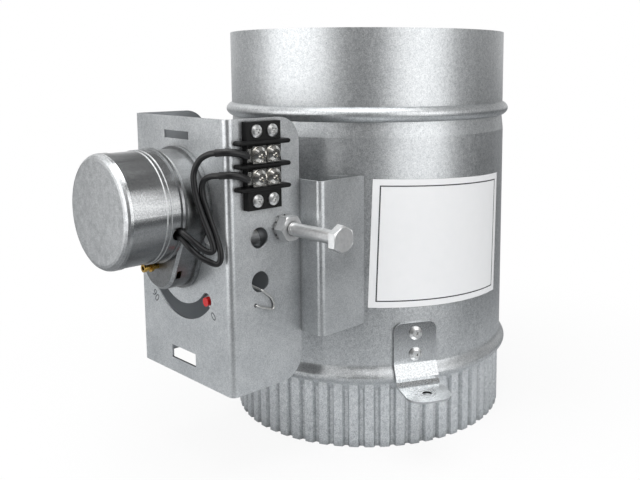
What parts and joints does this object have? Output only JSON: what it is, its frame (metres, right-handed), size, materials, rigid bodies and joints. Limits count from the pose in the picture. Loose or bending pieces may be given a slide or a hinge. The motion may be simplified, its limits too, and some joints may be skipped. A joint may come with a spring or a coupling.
{
  "type": "motorised duct damper",
  "caption": "Round sheet-metal duct damper with a crimped end, driven by a geared motor on a side bracket, with a return spring, stop bolt and terminal block.",
  "frame": {"origin": "centre of the crimped end's rim, on the duct's axis", "axes": "+Z along the duct's axis towards the plain collar, -Y towards the motor, +X towards the terminal block"},
  "size_m": [0.1736, 0.2499, 0.2096],
  "materials": {
    "galvanised": "galvanised sheet",
    "zinc": "bright zinc plate",
    "can_steel": "satin plated drawn steel",
    "nickel": "nickel plate",
    "spring_steel": "oiled spring steel",
    "brass": "machined brass",
    "copper": "enamelled winding",
    "nylon": "moulded nylon",
    "black_plastic": "moulded phenolic",
    "black_pvc": "lead insulation",
    "red_plastic": "painted red",
    "label": "printed film, left bare",
    "seal": "sheet rubber"
  },
  "bodies": {
    "duct": {"duct_shell": "galvanised", "standoff_bracket": "galvanised", "motor_bracket": "galvanised", "mounting_tab": "galvanised", "foot_rivets": "zinc", "bracket_rivets": "zinc", "tab_rivets": "nickel", "rating_label": "label", "front_bushing": "nylon", "rear_bushing": "nylon", "return_spring": "spring_steel", "stop_nut": "zinc", "lock_washer": "zinc", "motor_can": "can_steel", "coil_bobbin": "nylon", "field_coil": "copper", "gear_case": "can_steel", "gear_base": "can_steel", "gear_post": "brass", "idler_arbor": "spring_steel", "motor_screws": "zinc", "motor_nuts": "zinc", "terminal_base": "black_plastic", "terminal_links": "nickel", "clamp_plates": "nickel", "terminal_screws": "nickel", "block_screws": "nickel", "upper_lead": "black_pvc", "lower_lead": "black_pvc", "lead_sleeves": "black_pvc", "lead_lugs": "nickel"},
    "blade": {"damper_shaft": "zinc", "shaft_clip": "spring_steel", "blade_top": "galvanised", "blade_bottom": "galvanised", "blade_seal": "seal", "blade_bolts": "zinc", "blade_nuts": "zinc", "blade_rivets": "zinc", "shaft_coupler": "zinc", "set_screws": "spring_steel", "stop_lever": "zinc", "indicator_arm": "zinc", "indicator_tip": "red_plastic", "output_shaft": "zinc", "output_gear": "brass"},
    "idler": {"idler_gear": "brass"},
    "rotor": {"motor_rotor": "spring_steel", "rotor_pinion": "brass"},
    "bolt": {"stop_bolt": "zinc"}
  },
  "joints": [
    {"name": "blade_turn", "type": "hinge", "parent": "duct", "child": "blade", "pos_m": [0, 0, 0.1035], "axis": [0, 1, 0], "range_deg": [0, 90], "stiffness_Nm_per_rad": 0.05, "springref_deg": -28.65},
    {"name": "idler_turn", "type": "hinge", "parent": "duct", "child": "idler", "pos_m": [0.00192, -0.13, 0.11838], "axis": [0, 1, 0], "range_deg": [-365, 5]},
    {"name": "rotor_turn", "type": "hinge", "parent": "duct", "child": "rotor", "pos_m": [0, -0.14, 0.1287], "axis": [0, 1, 0], "range_deg": [-16, 1168]},
    {"name": "stop_bolt_travel", "type": "slide", "parent": "duct", "child": "bolt", "axis": [1, 0, 0], "range_m": [0, 0.006]}
  ],
  "couplings": [
    {"joint": "idler_turn", "follows": "blade_turn", "ratio": -4},
    {"joint": "rotor_turn", "follows": "blade_turn", "ratio": 12.8}
  ]
}
